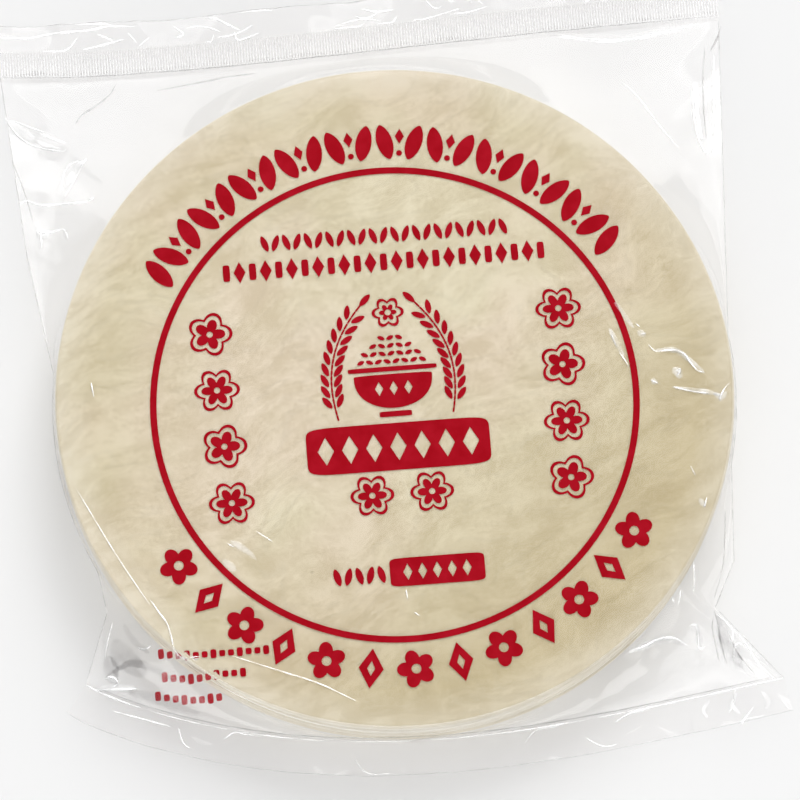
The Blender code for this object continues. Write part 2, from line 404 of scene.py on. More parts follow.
creases = {
    # upper left corner
    "leafOuter": (0.28, [(-106.0, 80.2), (-102.3, 75.1), (-97.3, 71.7), (-90.3, 69.7),
                         (-88.9, 70.3)]),
    "leafUpper": (0.18, [(-104.3, 79.6), (-98.5, 77.1), (-93.5, 75.0)]),
    "leafInner": (0.26, [(-97.8, 72.8), (-95.1, 70.8)]),
    "leafLower": (0.28, [(-83.1, 67.1), (-84.4, 64.9), (-86.3, 61.1), (-89.2, 56.1)]),
    "leafLowerSide": (0.20, [(-89.2, 57.1), (-89.7, 60.1), (-89.1, 64.0), (-87.3, 66.0),
                             (-84.8, 66.6)]),
    "sideLineLong": (0.32, [(-101.8, 55.1), (-99.5, 56.2), (-97.1, 55.3), (-94.3, 54.6),
                            (-83.1, 54.2)]),
    "sideLineShort": (0.28, [(-82.8, 54.2), (-80.6, 55.2)]),
    "sideForkUpper": (0.30, [(-96.9, 49.4), (-95.4, 47.1), (-92.2, 46.8), (-89.0, 47.1),
                             (-87.6, 44.1)]),
    "sideForkLower": (0.28, [(-95.4, 47.1), (-94.9, 42.2)]),
    # upper right corner
    "tubeInner": (0.40, [(81.5, 90.2), (81.2, 84.8), (81.3, 78.8), (82.5, 72.9), (84.2, 69.3)]),
    "tubeHook": (0.32, [(86.0, 72.0), (85.1, 69.3)]),
    "tubeOuter": (0.36, [(87.1, 98.0), (86.8, 90.5), (86.7, 83.2), (86.3, 74.6)]),
    "tubeBar": (0.28, [(86.8, 89.7), (83.3, 88.5)]),
    "tautLine": (0.17, [(62.1, 88.9), (65.6, 84.8), (69.0, 79.8), (72.4, 75.3), (76.6, 70.3)]),
    # crimp seal and its flange
    "crimpRidge": (0.24, [(45.1, 103.4), (53.8, 102.2), (63.9, 102.5), (71.2, 104.2),
                          (82.2, 106.8)]),
    "flangeLong": (0.32, [(-107.7, 103.4), (-100.0, 103.1), (-94.6, 104.0), (-84.5, 104.6),
                          (-77.7, 105.7), (-70.9, 105.8)]),
    "flangeTickA": (0.28, [(-81.2, 103.7), (-76.8, 101.8)]),
    "flangeTickB": (0.30, [(-72.8, 104.0), (-70.3, 101.1)]),
    "flangeTickC": (0.28, [(-67.0, 102.5), (-69.8, 100.0)]),
    "flangeHookA": (0.30, [(-60.5, 106.0), (-57.6, 103.5), (-59.9, 102.5)]),
    "flangeHookB": (0.30, [(-43.8, 104.0), (-42.5, 101.5), (-36.7, 103.5)]),
    # lower left corner
    "neckEdge": (0.30, [(-74.2, -60.3), (-75.7, -66.2), (-76.2, -70.2)]),
    "neckHook": (0.28, [(-67.6, -67.6), (-65.5, -68.2), (-63.7, -67.6)]),
    "earBright": (0.36, [(-78.5, -78.0), (-74.3, -77.8), (-67.7, -77.8)]),
    "earCorner": (0.36, [(-76.3, -75.0), (-74.3, -74.5), (-72.7, -76.1), (-74.2, -77.1)]),
    "lowerHook": (0.30, [(-64.0, -55.9), (-61.4, -59.7), (-59.5, -62.3), (-58.4, -65.5),
                         (-57.3, -69.3), (-54.9, -71.4), (-50.8, -71.1)]),
    "leftPull": (0.22, [(-83.8, -26.3), (-73.0, -44.1), (-64.0, -57.5)]),
    "lowerPull": (0.20, [(-42.9, -70.8), (-28.8, -75.3), (-19.4, -78.4), (-10.0, -82.9)]),
    # lower right corner
    "cornerWave": (0.46, [(62.5, -68.8), (66.2, -67.2), (68.8, -65.8), (73.3, -65.0),
                          (77.2, -66.7)]),
    "cornerCurl": (0.40, [(77.3, -61.9), (78.9, -61.4), (79.7, -62.7), (79.9, -66.2), (80.7, -67.3),
                          (81.8, -66.5)]),
    "flankDash": (0.34, [(78.7, -44.7), (78.9, -49.0), (78.8, -52.8)]),
    "flankDashLow": (0.32, [(75.1, -53.0), (74.5, -56.7)]),
    "flankTick": (0.28, [(72.7, -54.9), (73.4, -56.5)]),
    "neckFoldB": (0.34, [(84.8, -57.9), (87.4, -60.0), (89.2, -62.2), (88.6, -66.2)]),
    "neckFoldC": (0.32, [(89.4, -70.5), (89.4, -67.3), (90.5, -65.7), (92.1, -66.0)]),
    "neckFoldD": (0.28, [(92.1, -64.7), (95.5, -70.0), (100.1, -74.8)]),
    "skirtTick": (0.28, [(93.0, -82.7), (90.3, -85.7), (88.7, -87.8)]),
    # over the stack, right of the ring
    "shoulder": (0.30, [(67.3, 13.1), (69.1, 11.2), (71.5, 11.3), (73.9, 11.5), (76.8, 10.4),
                        (78.3, 8.2), (80.2, 6.0), (82.0, 5.3)]),
    "shoulderSpot": (0.30, [(74.6, 5.7), (75.7, 6.3), (75.4, 5.2), (74.8, 4.6)]),
    "shoulderFoot": (0.24, [(73.7, 1.5), (78.2, 0.3), (83.5, -0.4)]),
    "shoulderFork": (0.28, [(88.9, 2.7), (87.3, 0.8), (86.2, -1.4), (86.2, -2.5)]),
    "upperTickA": (0.24, [(63.9, 18.9), (65.2, 17.8)]),
    "upperTickB": (0.24, [(65.4, 15.9), (66.8, 16.1)]),
    "innerTickA": (0.20, [(57.5, 15.9), (59.0, 12.3)]),
    "innerTickB": (0.20, [(59.5, 10.9), (61.1, 8.7), (62.1, 6.8)]),
    "lowTickA": (0.22, [(77.9, -19.9), (79.4, -22.8)]),
    "lowTickB": (0.24, [(82.3, -28.3), (81.5, -31.3)]),
    "smallTick": (0.22, [(67.9, 3.3), (69.8, 2.4)]),
    # over the stack, left and below
    "leftTick": (0.24, [(-80.4, 2.6), (-79.5, -1.6)]),
    "slantTick": (0.22, [(-36.4, -37.7), (-32.0, -40.5)]),
    "slantTickLow": (0.20, [(-44.0, -40.9), (-42.1, -42.0)]),
    "centreTick": (0.22, [(3.0, -53.2), (3.5, -56.1)]),
    "centreTickLow": (0.22, [(5.1, -59.3), (6.7, -60.4)]),
}

valleys = {
    # folds that dip, coloured with painted grey shade
    "crimpCurl": (0.26, [(-76.0, 89.2), (-77.4, 86.4), (-80.6, 83.4), (-84.8, 80.4),
                         (-86.6, 77.6)]),
    "crimpLong": (0.22, [(-37.6, 91.8), (-46.0, 90.8), (-50.6, 89.8), (-64.7, 87.3)]),
    "cornerEdge": (0.28, [(89.2, 106.6), (88.0, 102.9), (86.1, 99.2)]),
    "neckFoldA": (0.30, [(84.3, -56.8), (85.0, -60.0), (85.7, -64.9), (87.5, -71.0)]),
    "neckFoldE": (0.20, [(84.0, -58.5), (83.6, -62.0), (84.6, -66.5), (85.4, -70.5)]),
    "neckFoldF": (0.20, [(88.0, -63.5), (90.6, -68.4), (94.8, -73.2)]),
    "flankLine": (0.20, [(87.6, -30.0), (87.4, -38.0), (86.6, -46.0), (84.4, -53.5)]),
    "tubeSide": (0.20, [(84.6, 100.0), (84.0, 93.0), (83.9, 84.0), (84.4, 74.0)]),
    "sideSlope": (0.20, [(-103.8, 68.0), (-100.2, 59.0), (-97.5, 50.0)]),
}

glints = {
    # broad soft gleams, each a flat stroke that fades to its sides
    # upper left corner
    "leafFill": (1.5, [(-104.8, 79.4), (-101.5, 76.2), (-97.6, 73.7)]),
    "leafTrail": (0.8, [(-97.6, 73.4), (-93.3, 71.1), (-90.0, 70.0)]),
    "leafUpperEdge": (0.5, [(-96.6, 75.4), (-92.8, 73.7), (-89.0, 72.0)]),
    "leafLowerFill": (1.1, [(-84.1, 66.3), (-86.4, 64.0), (-88.5, 59.5)]),
    "sideForkFill": (1.2, [(-96.5, 48.9), (-94.9, 46.4), (-92.7, 46.6)]),
    "sideForkLeg": (0.7, [(-89.0, 47.2), (-87.8, 43.8)]),
    # upper right corner and crimp
    "tubeFill": (0.8, [(82.2, 90.2), (82.1, 81.7), (83.3, 73.1)]),
    "crimpArc": (0.5, [(45.1, 102.8), (55.9, 101.6), (66.9, 102.8), (77.8, 105.4)]),
    # over the stack, right of the ring
    "chainUpper": (0.7, [(58.1, 25.2), (60.5, 21.9), (63.6, 17.5)]),
    "chainLower": (0.9, [(64.4, 16.7), (66.8, 15.3)]),
    "chainInner": (0.8, [(57.0, 17.5), (58.8, 13.7), (60.9, 9.8)]),
    "shoulderGlow": (0.7, [(69.1, 11.5), (74.4, 11.5), (78.3, 8.7), (82.3, 5.2)]),
    "spotGlow": (1.1, [(73.5, 6.5), (75.1, 5.4), (75.9, 3.5)]),
    "footGlow": (0.7, [(73.7, 1.3), (80.9, 0.3), (86.7, -0.8)]),
    "forkGlow": (0.9, [(84.6, -0.3), (86.4, -1.7), (88.0, 0.3)]),
    "smallGlow": (0.9, [(67.9, 3.5), (69.8, 2.2)]),
    "lowGlow": (0.7, [(80.2, -28.7), (81.7, -31.4)]),
    # over the stack, left and below
    "paleSpotUpper": (1.0, [(-43.2, -40.4), (-39.5, -42.5), (-36.1, -45.4)]),
    "paleSpotLower": (1.0, [(-45.2, -45.4), (-41.5, -48.4)]),
    "hookGlow": (0.9, [(-58.1, -67.9), (-56.5, -70.8), (-53.9, -71.8), (-51.0, -71.6)]),
    # lower corners
    "earGlow": (1.2, [(-78.2, -77.8), (-73.5, -77.5), (-68.0, -77.5)]),
    "earSpot": (1.2, [(-75.8, -75.5), (-74.2, -74.7), (-72.9, -76.3)]),
    "waveGlow": (1.1, [(61.4, -69.3), (66.2, -67.2), (71.2, -65.3), (76.2, -66.4)]),
    "curlGlow": (1.0, [(77.8, -61.8), (79.9, -63.4), (80.6, -66.9)]),
    "neckGlow": (0.6, [(83.7, -57.3), (85.7, -60.0), (85.2, -63.2), (87.2, -66.4)]),
    "neckGlowLow": (0.6, [(89.4, -64.9), (91.2, -68.1), (90.4, -71.3), (92.9, -73.4)]),
    "skirtGlowA": (0.7, [(89.9, -78.7), (88.0, -81.9), (89.5, -84.6)]),
    "skirtGlowB": (0.6, [(82.8, -80.3), (80.4, -83.3), (81.1, -85.7)]),
    "skirtGlowC": (0.8, [(96.0, -78.2), (97.2, -80.9), (95.9, -83.5)]),
}

shades = {
    # broad faint shades where the film is crumpled
    "earShade": (2.6, [(-73.9, -64.9), (-71.2, -69.7), (-65.3, -74.5)]),
    "earShadeSide": (1.6, [(-75.4, -68.9), (-74.8, -72.3), (-73.2, -75.5)]),
    "earShadeFold": (0.9, [(-74.3, -73.4), (-69.0, -71.3), (-62.7, -73.4), (-57.4, -76.6)]),
    "earShadeUpper": (0.8, [(-71.2, -61.3), (-68.5, -65.8), (-64.3, -69.3)]),
    "earShadeLow": (1.6, [(-70.0, -78.6), (-61.6, -80.7), (-51.1, -84.4)]),
    "neckShade": (1.2, [(85.2, -58.1), (86.8, -62.4), (86.4, -68.3)]),
    "neckShadeLow": (1.0, [(87.6, -64.9), (89.1, -68.1), (92.2, -72.3)]),
}

creasePlan = {
    "step": 0.6 * mm,
    "meanWidth": 0.85,
    "swell": 0.3,
    "swellSize": 4.0 * mm,
    "tip": 0.2,
    "foldRadius": 0.14,
    "flatness": 0.10,
    "dashRows": (0.3, 2.3),
    "dashRadius": 0.11,
    "beadRuns": [(0, 24, 0.30), (30, 62, 0.12), (66, 104, 0.17), (112, 142, 0.12), (148, 176, 0.18),
                 (174, 216, 0.25), (220, 300, 0.20)],
    "beadLift": 0.1 * mm,
    "valleyRadius": 0.15,
    "flangeEdge": 0.12,
    "skirtEdge": 0.105,
    "seamSteps": 300,
    "besideWeld": 0.9 * mm,
}


def onFilm(x, y):
    # the film's upper surface over a place in the plan, on the pack or on a free strip
    place = Vector((x, y))
    if place.length <= outlineReach(x, y):
        return Vector((x, y, filmHeight(x, y)))
    if y > 0.0:
        along = bagPlan["crimpLeft"] - bagPlan["crimpRight"]
        share = (place - bagPlan["crimpRight"]).dot(along) / along.length_squared
        row = (place - crimpPoint(share)).dot(crimpOutward())
        return crimpSurface(share, row) + Vector((0.0, 0.0, crimpSeal["thickness"]))
    ears = bagPlan["earRight"].x - bagPlan["earLeft"].x
    share = min(max((x - bagPlan["earLeft"].x) / ears, 0.0), 1.0)
    reach = (place - weldPoint(share)).dot(weldOutward(share))
    return skirtSurface(share, reach) + Vector((0.0, 0.0, weldSkirt["thickness"]))


def bendThrough(points, step):
    # even points on a soft curve through the given ones
    ends = [points[0] * 2 - points[1]] + points + [points[-1] * 2 - points[-2]]
    fine = []
    for a, b, c, d in zip(ends, ends[1:], ends[2:], ends[3:]):
        count = max(2, round((c - b).length / step))
        for k in range(count):
            t = k / count
            bend = (2 * a - 5 * b + 4 * c - d) * t * t + (3 * b - a - 3 * c + d) * t ** 3
            fine.append(0.5 * (2 * b + (c - a) * t + bend))
    fine.append(points[-1])
    return fine


def addRoll(curve, places, radius, tapered=True):
    plan = creasePlan
    spline = curve.splines.new("POLY")
    spline.points.add(len(places) - 1)
    for k, (point, place) in enumerate(zip(spline.points, places)):
        share = k / (len(places) - 1)
        point.co = (*place, 1.0)
        swell = noise.noise(place / plan["swellSize"])
        point.radius = radius * (plan["meanWidth"] + plan["swell"] * swell)
        if tapered:
            full = math.sqrt(max(math.sin(math.pi * share), 0.0))
            point.radius *= plan["tip"] + (1.0 - plan["tip"]) * full


looseCreases = {
    "onFlange": 30,
    "onSkirt": 9,
    "startAlong": (0.02, 0.94),
    "startAcross": (0.15, 0.9),
    "turn": 0.5,
    "length": (5.0, 16.0),
    "bow": 0.25,
    "radius": (0.16, 0.30),
    "skirtRadius": 0.75,
    "stripLength": 195.0 * mm,
    "stripWidth": 9.0 * mm,
    "stripMargin": 0.05,
    "seed": 7,
}


def addLooseCreases(curve):
    # short soft folds scattered over the flange and the skirt
    plan = looseCreases
    dice = random.Random(plan["seed"])
    margin = plan["stripMargin"]
    for number in range(plan["onFlange"] + plan["onSkirt"]):
        onFlange = number < plan["onFlange"]
        start = Vector((dice.uniform(*plan["startAlong"]), dice.uniform(*plan["startAcross"])))
        turn = dice.gauss(0.0, plan["turn"])
        length = dice.uniform(*plan["length"]) * mm
        bow = dice.uniform(-plan["bow"], plan["bow"])
        places = []
        for k in range(5):
            way = k / 4
            share = start.x + way * length * math.cos(turn) / plan["stripLength"]
            depth = start.y + way * length * math.sin(turn) / plan["stripWidth"]
            depth += bow * math.sin(math.pi * way)
            depth = min(max(depth, margin), 1.0 - margin)
            if onFlange:
                place = crimpSurface(share, crimpSeal["width"] + depth * crimpSeal["flange"])
                place.z += crimpSeal["thickness"]
            else:
                place = skirtSurface(min(share, 1.0), depth * weldSkirt["width"])
                place.z += weldSkirt["thickness"]
            places.append(place)
        radius = dice.uniform(*plan["radius"]) * (1.0 if onFlange else plan["skirtRadius"])
        addRoll(curve, bendThrough(places, creasePlan["step"]), radius)


def newRolls(name):
    curve = bpy.data.curves.new(name, "CURVE")
    curve.dimensions = "3D"
    curve.bevel_depth = 1.3 * mm
    curve.bevel_resolution = 3
    curve.use_fill_caps = True
    return curve


def finishRolls(curve, material, flatness=1.0):
    name = curve.name
    holder = bpy.data.objects.new(name + "Source", curve)
    bpy.context.scene.collection.objects.link(holder)
    ready = holder.evaluated_get(bpy.context.evaluated_depsgraph_get())
    shape = bpy.data.meshes.new_from_object(ready)
    bm = bmesh.new()
    bm.from_mesh(shape)
    bpy.data.objects.remove(holder)
    bpy.data.curves.remove(curve)
    bpy.data.meshes.remove(shape)
    bmesh.ops.remove_doubles(bm, verts=bm.verts[:], dist=0.0005 * mm)
    bmesh.ops.recalc_face_normals(bm, faces=bm.faces[:])
    # strokes are strongest along their crest and fade to their sides
    crest = bm.verts.layers.float.new("crest")
    for vert in bm.verts:
        vert[crest] = max(vert.normal.z, 0.0)
    if flatness < 1.0:
        for vert in bm.verts:
            base = onFilm(vert.co.x, vert.co.y).z
            vert.co.z = base + flatness * (vert.co.z - base)
    return finishPiece(name, bm, [material], 60.0)


def addStrokes(curve, strokes):
    for radius, points in strokes.values():
        path = bendThrough([Vector(p) * mm for p in points], creasePlan["step"])
        addRoll(curve, [onFilm(p.x, p.y) for p in path], radius)


def makeCreases(material):
    # every roll here, the weld bead's too, is coloured with a painted white highlight
    plan = creasePlan
    curve = newRolls("filmCreases")
    addStrokes(curve, creases)
    addLooseCreases(curve)
    for start, end, radius in plan["beadRuns"]:
        bead = []
        for k in range(start, end + 1):
            place = weldPoint(k / plan["seamSteps"])
            height = float(seamHeight(place.length)) + plan["beadLift"]
            bead.append(Vector((place.x, place.y, height)))
        addRoll(curve, bead, radius)
    return finishRolls(curve, material)


def makeValleys(material):
    plan = creasePlan
    curve = newRolls("filmValleys")
    addStrokes(curve, valleys)
    # painted grey shade lines on the rolls along the folds and necks of the outline
    for side in ("rightFold", "leftFold", "leftNeck", "rightNeck"):
        places = [Vector((p.x, p.y, float(seamHeight(p.length)))) for p in runs[side]]
        addRoll(curve, places, plan["foldRadius"], False)
    # painted grey shade lines beside the weld, the crimp and the free edges
    steps = plan["seamSteps"]
    shares = [k / steps for k in range(steps + 1)]
    inside = []
    for share in shares[6:-6]:
        place = weldPoint(share) - weldOutward(share) * plan["besideWeld"]
        inside.append(onFilm(place.x, place.y))
    addRoll(curve, inside, plan["valleyRadius"])
    lift = Vector((0.0, 0.0, crimpSeal["thickness"]))
    lastRow = crimpSeal["rows"][-1] * mm
    addRoll(curve, [crimpSurface(s, 0.0) + lift for s in shares], plan["valleyRadius"])
    addRoll(curve, [crimpSurface(s, lastRow) for s in shares], plan["flangeEdge"], False)
    addRoll(curve, [skirtSurface(s, weldSkirt["width"]) for s in shares], plan["skirtEdge"], False)
    # short dashes of painted shadow between the ribs along the lower part of the crimp
    for rib in range(ribCount):
        share = (rib + 0.75) / ribCount
        strength = 1.0 + 1.1 * noise.noise(Vector((share * 9.0, 0.0, 2.0)))
        low, high = plan["dashRows"]
        high -= 0.9 * (1.0 + noise.noise(Vector((share * 30.0, 4.0, 2.0))))
        rows = [(low + (high - low) * k / 4) * mm for k in range(5)]
        dash = [crimpSurface(share, row) + 1.4 * lift for row in rows]
        addRoll(curve, dash, plan["dashRadius"] * max(strength, 0.2))
    return finishRolls(curve, material)


def makeFlatStrokes(name, strokes, material):
    curve = newRolls(name)
    addStrokes(curve, strokes)
    return finishRolls(curve, material, creasePlan["flatness"])


# stack of sheets

sheetStack = {
    "count": 60,
    "low": 0.20 * mm,
    "high": packTop - 0.20 * mm,
    "thickness": 0.27 * mm,
    "shift": 0.35 * mm,
    "radiusSpread": 0.22 * mm,
    "segments": 144,
    "rimBand": 3.0 * mm,
    "innerBand": 9.0 * mm,
    "waveHeight": 0.05 * mm,
    "waveStart": 0.86,
    "waveDrift": 0.07,
    "fineWave": 0.6,
    "seed": 18,
}


def makeSheets(material):
    plan = sheetStack
    dice = random.Random(plan["seed"])
    pitch = (plan["high"] - plan["low"]) / plan["count"]
    bm = bmesh.new()
    for number in range(plan["count"]):
        radius = bagPlan["sheetRadius"] - plan["shift"] + dice.uniform(-1, 1) * plan["radiusSpread"]
        shiftAngle = dice.uniform(0, 2 * math.pi)
        shift = plan["shift"] * dice.random()
        middle = Vector((shift * math.cos(shiftAngle), shift * math.sin(shiftAngle), 0.0))
        base = plan["low"] + pitch * number
        made = bmesh.ops.create_circle(bm, cap_ends=True, segments=plan["segments"], radius=radius)
        verts = made["verts"]
        face = verts[0].link_faces[0]
        faces = [face]
        for band in (plan["rimBand"], plan["innerBand"]):
            inset = bmesh.ops.inset_region(bm, faces=[face], thickness=band)
            faces += inset["faces"]
        for vert in dict.fromkeys(v for f in faces for v in f.verts):
            angle = math.atan2(vert.co.y, vert.co.x)
            lift = smooth(plan["waveStart"] * radius, radius, vert.co.xy.length)
            wave = math.sin(3 * angle + plan["waveDrift"] * number)
            wave += plan["fineWave"] * math.sin(7 * angle + 1.0)
            vert.co += middle
            vert.co.z = base + float(lift) * plan["waveHeight"] * wave
        thicken(bm, faces, plan["thickness"])
    bmesh.ops.recalc_face_normals(bm, faces=bm.faces[:])
    return finishPiece("ricePaperSheets", bm, [material], 50.0)


# print on the film: a ring, two arched borders and small plain ornaments, all in one red

printPlan = {
    "centre": Vector((0.1, -2.7, 0.0)) * mm,
    "turn": math.radians(4.5),
    "lift": 0.02 * mm,
    "inkThickness": 0.03 * mm,
    "ringOuter": 64.8 * mm,
    "ringLine": 1.75 * mm,
    "borderMiddle": 71.9 * mm,
    "borderHeight": 10.0 * mm,
    "upperPairs": 11,
    "upperArc": 108.0,
    "lowerMarks": 13,
    "lowerArc": 113.0,
}


def addLoop(bm, count, shape, place):
    # one closed outline: shape gives x and y in mm for an angle
    made = bmesh.ops.create_circle(bm, cap_ends=False, segments=count, radius=1.0)
    verts = made["verts"]
    for vert in verts:
        x, y = shape(math.atan2(vert.co.y, vert.co.x))
        vert.co = place @ Vector((x * mm, y * mm, 0.0))
    return list(dict.fromkeys(e for v in verts for e in v.link_edges))


def fillShape(bm, *loops):
    # the first outline is filled, the others are holes in it
    edges = [e for loop in loops for e in loop]
    bmesh.ops.triangle_fill(bm, use_beauty=True, edges=edges)


def grain(width, length):
    def shape(t):
        tip = abs(math.sin(t)) ** 0.35
        return width / 2 * math.sin(t) * tip, length / 2 * math.cos(t)
    return shape


def blossom(size, petals, depth):
    def shape(t):
        reach = size / 2 * (1.0 - depth * (1.0 - abs(math.cos(petals * t / 2))))
        return reach * math.cos(t), reach * math.sin(t)
    return shape


def softBox(width, height, power=8.0):
    def shape(t):
        c, s = math.cos(t), math.sin(t)
        return (width / 2 * math.copysign(abs(c) ** (2 / power), c),
                height / 2 * math.copysign(abs(s) ** (2 / power), s))
    return shape


def lozenge(width, height):
    return softBox(width, height, 1.0)


def roundShape(radius):
    return lambda t: (radius * math.cos(t), radius * math.sin(t))


def at(x, y, turn=0.0):
    return Matrix.Translation((x * mm, y * mm, 0.0)) @ Matrix.Rotation(math.radians(turn), 4, "Z")


def addRing(bm):
    outer = printPlan["ringOuter"] / mm
    inner = outer - printPlan["ringLine"] / mm
    steps = 360
    a = addLoop(bm, steps, roundShape(outer), at(0, 0))
    b = addLoop(bm, steps, roundShape(inner), at(0, 0))
    bmesh.ops.bridge_loops(bm, edges=a + b)


def addBorders(bm):
    middle = printPlan["borderMiddle"] / mm
    height = printPlan["borderHeight"] / mm

    def onArc(angle, lean=0.0, inward=0.0):
        reach = middle - inward
        x = reach * math.cos(math.radians(angle))
        y = reach * math.sin(math.radians(angle))
        return at(x, y, angle - 90 + lean)

    # upper border: grains that lean in pairs, with lozenges between the pairs
    pairs = printPlan["upperPairs"]
    pitch = printPlan["upperArc"] / (pairs - 1)
    for k in range(pairs):
        angle = 90 + printPlan["upperArc"] / 2 - k * pitch
        for side in (-1, 1):
            place = onArc(angle - side * 0.21 * pitch, side * 15)
            fillShape(bm, addLoop(bm, 28, grain(4.3, height), place))
        if k < pairs - 1:
            fillShape(bm, addLoop(bm, 20, lozenge(2.5, 4.2), onArc(angle - pitch / 2, 0.0, -1.6)))
            fillShape(bm, addLoop(bm, 14, roundShape(0.8), onArc(angle - pitch / 2, 0.0, 3.1)))
    # lower border: blossoms and tall lozenges in turn
    marks = printPlan["lowerMarks"]
    for k in range(marks):
        place = onArc(270 + printPlan["lowerArc"] * (k / (marks - 1) - 0.5))
        if k % 2 == 0:
            fillShape(bm, addLoop(bm, 60, blossom(10.2, 5, 0.38), place),
                      addLoop(bm, 16, roundShape(1.3), place))
        else:
            fillShape(bm, addLoop(bm, 24, lozenge(6.6, height + 0.6), place),
                      addLoop(bm, 16, lozenge(2.1, 4.0), place))


def addMarkRow(bm, centre, width, pitch, makeShape, lean=0.0, steps=16, curl=0.0):
    # curl lifts the left end of the row, where the film folds under the stack's edge
    count = round(width / pitch)
    for k in range(count):
        x = centre[0] + (k - (count - 1) / 2) * pitch
        y = centre[1] + curl * max(-57.0 - x, 0.0) ** 1.5
        fillShape(bm, addLoop(bm, steps, makeShape(k), at(x, y, lean * (-1) ** k)))


def addOutlinedBlossom(bm, x, y, size, petals):
    place = at(x, y)
    fillShape(bm, addLoop(bm, 72, blossom(size, petals, 0.30), place),
              addLoop(bm, 72, blossom(size - 1.7, petals, 0.32), place))
    fillShape(bm, addLoop(bm, 60, blossom(size - 3.9, petals, 0.50), place),
              addLoop(bm, 14, roundShape(0.85), place))


def addRiceEar(bm, side):
    # bent stem with grains along both flanks, leaning in over the bowl at the tip
    def stem(t):
        return Vector((side * (15.2 + 6.5 * t - 14.5 * t ** 2.4), -4.0 + 31.0 * t))

    def along(t):
        ahead = stem(t + 0.01) - stem(t - 0.01)
        return math.degrees(math.atan2(ahead.y, ahead.x)) - 90

    steps = 20
    for k in range(steps):
        t = (k + 0.5) / steps
        length = (stem((k + 1) / steps) - stem(k / steps)).length * 0.98
        fillShape(bm, addLoop(bm, 8, softBox(0.5, length, 8.0), at(*stem(t), along(t))))
    for k in range(9):
        t = 0.17 + 0.093 * k
        for flank in (-1, 1):
            turn = along(t)
            x = stem(t).x + flank * 1.75 * math.cos(math.radians(turn))
            y = stem(t).y + flank * 1.75 * math.sin(math.radians(turn))
            fillShape(bm, addLoop(bm, 18, grain(1.6, 4.0), at(x, y, turn - flank * 30)))
    fillShape(bm, addLoop(bm, 18, grain(1.7, 4.2), at(*stem(1.045), along(1.045))))


def bowlShape(t):
    # flat rim above, round belly below
    if math.sin(t) < 0:
        return 10.4 * math.cos(t), -8.6 * abs(math.sin(t)) ** 0.85
    return 10.4 * math.cos(t), 0.7 * math.sin(t) ** 0.3


def addMotif(bm):
    # a bowl of rice between two rice ears, over a ribbon with lozenges left open
    for side in (-1, 1):
        addRiceEar(bm, side)
    bowl = at(0.0, 7.0)
    fillShape(bm, addLoop(bm, 72, bowlShape, bowl),
              *[addLoop(bm, 14, lozenge(2.2, 3.8), at(3.9 * k, 3.8)) for k in (-1, 0, 1)])
    fillShape(bm, addLoop(bm, 40, softBox(8.6, 1.5), at(0.0, -3.2)))
    fillShape(bm, addLoop(bm, 72, softBox(23.6, 1.3), at(0.0, 9.1)))
    for row, count in enumerate((8, 7, 5, 3)):
        for k in range(count):
            place = at(2.35 * (k - (count - 1) / 2), 11.2 + 2.15 * row, 90 + 24 * (-1) ** (k + row))
            fillShape(bm, addLoop(bm, 12, grain(1.15, 2.1), place))
    addOutlinedBlossom(bm, 0.0, 24.6, 8.6, 6)
    fillShape(bm, addLoop(bm, 96, softBox(48.6, 12.8, 9.0), at(0.0, -12.1)),
              *[addLoop(bm, 16, lozenge(4.3, 7.6), at(6.4 * k, -12.1)) for k in range(-3, 4)])
    for side in (-1, 1):
        addOutlinedBlossom(bm, side * 7.9, -24.9, 11.6, 6)


def addSmallMarks(bm):
    # rows of small marks above the motif
    addMarkRow(bm, (0.6, 46.0), 68.0, 2.9, lambda k: grain(1.75, 4.7), 20.0)
    addMarkRow(bm, (0.0, 38.6), 88.0, 3.5,
               lambda k: lozenge(3.2, 5.9) if k % 2 else softBox(1.9, 4.6, 5.0))
    # two columns of outlined blossoms
    for row in range(4):
        y = 22.2 - 15.4 * row
        addOutlinedBlossom(bm, -47.6 + 0.9 * row, y, 12.2, 5 + row % 2)
        addOutlinedBlossom(bm, 45.3 - 0.2 * row, y, 12.2, 6 - row % 2)
    # small row and box at the foot of the ring
    addMarkRow(bm, (-12.9, -46.2), 13.5, 2.9, lambda k: grain(1.9, 4.8), 15.0)
    fillShape(bm, addLoop(bm, 64, softBox(25.0, 7.6, 10.0), at(7.6, -46.0)),
              *[addLoop(bm, 14, lozenge(2.4, 4.4), at(7.6 + 3.9 * k, -46.0)) for k in range(-2, 3)])
    # three rows of dashes low on the left, half over the stack's edge
    for x, y, width in ((-52.5, -63.8, 30.0), (-55.5, -69.3, 24.0), (-60.0, -74.3, 19.0)):
        addMarkRow(bm, (x, y), width, 2.3, lambda k: softBox(1.6, 1.7 + 0.7 * (k % 3 == 0), 4.0),
                   0.0, 12, 0.06)


def makePrint(material):
    bm = bmesh.new()
    addRing(bm)
    addBorders(bm)
    addMotif(bm)
    addSmallMarks(bm)
    for face in bm.faces:
        face.normal_update()
        if face.normal.z < 0:
            face.normal_flip()
    place = Matrix.Translation(printPlan["centre"]) @ Matrix.Rotation(printPlan["turn"], 4, "Z")
    bmesh.ops.transform(bm, matrix=place, verts=bm.verts[:])
    for vert in bm.verts:
        vert.co.z = filmHeight(vert.co.x, vert.co.y) + printPlan["lift"]
    thicken(bm, bm.faces[:], printPlan["inkThickness"])
    bmesh.ops.recalc_face_normals(bm, faces=bm.faces[:])
    return finishPiece("redPrint", bm, [material])


# materials

mainOutputs = {
    "TexCoord": "Object", "TexNoise": "Fac", "TexVoronoi": "Distance", "Mapping": "Vector",
    "Math": "Value", "VectorMath": "Vector", "MapRange": "Result", "Mix": "Result",
    "ValToRGB": "Color", "SeparateXYZ": "Z", "NewGeometry": "Normal", "LayerWeight": "Facing",
    "Attribute": "Fac", "BsdfPrincipled": "BSDF", "BsdfTransparent": "BSDF",
    "MixShader": "Shader",
}
nodeColumns = 8
nodeSpacing = (200, 320)
white = (1.0, 1.0, 1.0, 1.0)


